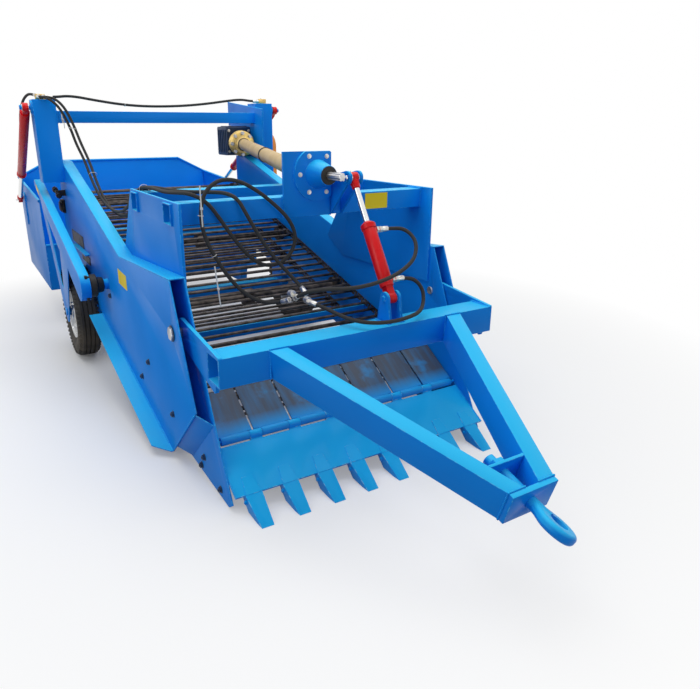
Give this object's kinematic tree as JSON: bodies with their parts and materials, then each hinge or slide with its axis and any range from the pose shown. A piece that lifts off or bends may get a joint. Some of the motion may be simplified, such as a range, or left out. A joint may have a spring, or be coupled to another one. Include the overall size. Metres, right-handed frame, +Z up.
{
  "type": "towed stone picker",
  "caption": "Towed stone picker with a tined lifting share, rod web between double side walls, shaft drive, hinged drawbar, two wheels and a tipping rear hopper.",
  "frame": {"origin": "on the floor under the middle of the machine's bounding box", "axes": "+X to the machine's left, +Y to its rear (the hopper), +Z up"},
  "size_m": [1.868, 5.35, 1.666],
  "materials": {
    "blue_paint": "gloss",
    "worn_steel": "worn",
    "red_paint": "gloss",
    "rod_chrome": "polished",
    "input_steel": "machined",
    "zinc": "plated",
    "guard_tan": "matt",
    "gearbox_dark": "painted",
    "guard_orange": "gloss",
    "rim_white": "gloss",
    "tyre": "matt",
    "hose_rubber": "matt",
    "brass": "cast"
  },
  "bodies": {
    "chassis": {"wall_inner_left": "blue_paint", "wall_inner_right": "blue_paint", "wall_outer_left": "blue_paint", "wall_outer_right": "blue_paint", "wall_caps": "blue_paint", "wall_gussets": "blue_paint", "pivot_pins": "worn_steel", "head_plates": "blue_paint", "head_tubes": "blue_paint", "bearing_plate": "blue_paint", "driveline_guard": "guard_tan", "gearbox": "gearbox_dark", "gearbox_carrier": "blue_paint", "chain_guard": "guard_orange", "uprights": "blue_paint", "rear_beam": "blue_paint", "share_blade": "blue_paint", "web": "worn_steel", "web_shafts": "worn_steel", "cross_tubes": "blue_paint", "clevis_upper": "blue_paint", "axle": "blue_paint", "wheel_bracket_left": "blue_paint", "wheel_bracket_right": "blue_paint", "rear_arms": "blue_paint", "hose_tees": "brass", "hose_feed": "hose_rubber", "hose_return": "hose_rubber", "hose_cross": "hose_rubber"},
    "drawbar": {"drawbar_cross": "blue_paint", "drawbar_ears": "blue_paint", "drawbar_beams": "blue_paint", "drawbar_end": "blue_paint", "drawbar_stiffener": "blue_paint", "drawbar_eye": "worn_steel", "clevis_lower": "blue_paint"},
    "lift_barrel": {"lift_barrel": "red_paint", "hose_lift_upper": "hose_rubber", "hose_lift_lower": "hose_rubber"},
    "lift_rod": {"lift_rod": "rod_chrome"},
    "hopper": {"hopper_floor": "blue_paint", "hopper_front": "blue_paint", "hopper_rear": "blue_paint", "hopper_side_left": "blue_paint", "hopper_side_right": "blue_paint"},
    "tip_left_barrel": {"tip_left_barrel": "red_paint", "hose_tip_left": "hose_rubber"},
    "tip_left_rod": {"tip_left_rod": "rod_chrome"},
    "tip_right_barrel": {"tip_right_barrel": "red_paint", "hose_tip_right": "hose_rubber"},
    "tip_right_rod": {"tip_right_rod": "rod_chrome"},
    "wheel_left": {"rim_left": "rim_white", "tyre_left": "tyre"},
    "wheel_right": {"rim_right": "rim_white", "tyre_right": "tyre"},
    "flap_row": {"flap_row": "worn_steel"},
    "pto_stub": {"pto_stub": "input_steel"},
    "driveline": {"driveline": "zinc"}
  },
  "joints": [
    {"name": "drawbar_lift", "type": "hinge", "parent": "chassis", "child": "drawbar", "pos_m": [0, -1.215, 0.645], "axis": [1, 0, 0], "range_deg": [-8, 10]},
    {"name": "lift_barrel_swing", "type": "hinge", "parent": "drawbar", "child": "lift_barrel", "pos_m": [0.136, -1.56, 0.757], "axis": [1, 0, 0], "range_deg": [-8.6, 7]},
    {"name": "lift_rod_slide", "type": "slide", "parent": "lift_barrel", "child": "lift_rod", "axis": [0, 0.5355, 0.8445], "range_m": [-0.05, 0.0625]},
    {"name": "hopper_tip", "type": "hinge", "parent": "chassis", "child": "hopper", "pos_m": [0, 2.515, 0.205], "axis": [-1, 0, 0], "range_deg": [0, 40]},
    {"name": "tip_left_swing", "type": "hinge", "parent": "chassis", "child": "tip_left_barrel", "pos_m": [0.899, 1.075, 1.57], "axis": [1, 0, 0], "range_deg": [0, 6.5]},
    {"name": "tip_left_slide", "type": "slide", "parent": "tip_left_barrel", "child": "tip_left_rod", "axis": [0, 0.8776, -0.4793], "range_m": [0, 0.44]},
    {"name": "tip_right_swing", "type": "hinge", "parent": "chassis", "child": "tip_right_barrel", "pos_m": [-0.899, 1.075, 1.57], "axis": [1, 0, 0], "range_deg": [0, 6.5]},
    {"name": "tip_right_slide", "type": "slide", "parent": "tip_right_barrel", "child": "tip_right_rod", "axis": [0, 0.8776, -0.4793], "range_m": [0, 0.44]},
    {"name": "wheel_left_spin", "type": "hinge", "parent": "chassis", "child": "wheel_left", "pos_m": [0.7915, 0.605, 0.3], "axis": [1, 0, 0], "continuous": true},
    {"name": "wheel_right_spin", "type": "hinge", "parent": "chassis", "child": "wheel_right", "pos_m": [-0.7915, 0.605, 0.3], "axis": [1, 0, 0], "continuous": true},
    {"name": "flap_lift", "type": "hinge", "parent": "chassis", "child": "flap_row", "pos_m": [0, -1.43398, 0.21663], "axis": [1, 0, 0], "range_deg": [0, 25]},
    {"name": "pto_spin", "type": "hinge", "parent": "chassis", "child": "pto_stub", "pos_m": [0.022, -1.135, 1.25], "axis": [0, 1, 0], "continuous": true},
    {"name": "driveline_spin", "type": "hinge", "parent": "chassis", "child": "driveline", "pos_m": [0.022, -0.975, 1.25], "axis": [0.273, 0.9613, 0.0369], "continuous": true}
  ],
  "couplings": [
    {"joint": "lift_barrel_swing", "follows": "drawbar_lift", "ratio": -0.835},
    {"joint": "lift_rod_slide", "follows": "drawbar_lift", "m_per_rad": 0.3488},
    {"joint": "tip_left_swing", "follows": "hopper_tip", "ratio": 0.1468},
    {"joint": "tip_left_slide", "follows": "hopper_tip", "m_per_rad": 0.6106},
    {"joint": "tip_right_swing", "follows": "hopper_tip", "ratio": 0.1468},
    {"joint": "tip_right_slide", "follows": "hopper_tip", "m_per_rad": 0.6106},
    {"joint": "driveline_spin", "follows": "pto_spin", "ratio": 1}
  ]
}
